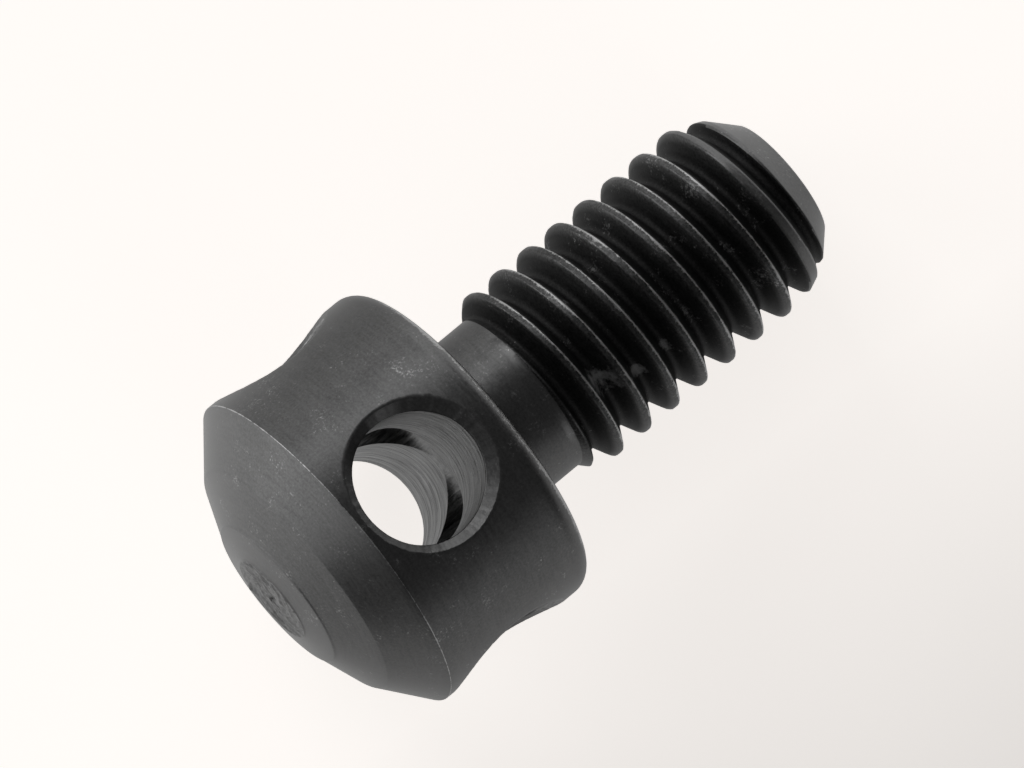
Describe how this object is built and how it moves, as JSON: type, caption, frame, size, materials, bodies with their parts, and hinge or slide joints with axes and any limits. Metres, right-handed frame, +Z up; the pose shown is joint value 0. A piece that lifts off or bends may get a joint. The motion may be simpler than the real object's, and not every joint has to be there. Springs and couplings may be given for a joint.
{
  "type": "adjusting screw",
  "caption": "Short right-hand adjusting screw with a domed barrel head, crossed through holes in it for a turning bar, a plain neck and a chamfered flat tip.",
  "frame": {"origin": "bottom centre of the bounding box: the screw lies on its head's rounded edge and its lowest thread crest, and Z = 0 is the surface it lies on", "axes": "+X along the screw from head to tip, as seen from above (the axis dips 12.4 degrees towards the tip); +Y level, across the screw; +Z up. The screw has rolled 9.5 degrees about its own axis, so the upper cross hole leans to +Y"},
  "size_m": [0.0184, 0.01, 0.0108],
  "materials": {
    "blackened_steel": "turned steel, chemically blackened and oiled, satin, with fine tool marks"
  },
  "bodies": {
    "root": {"adjusting_screw": "blackened_steel"}
  },
  "joints": []
}
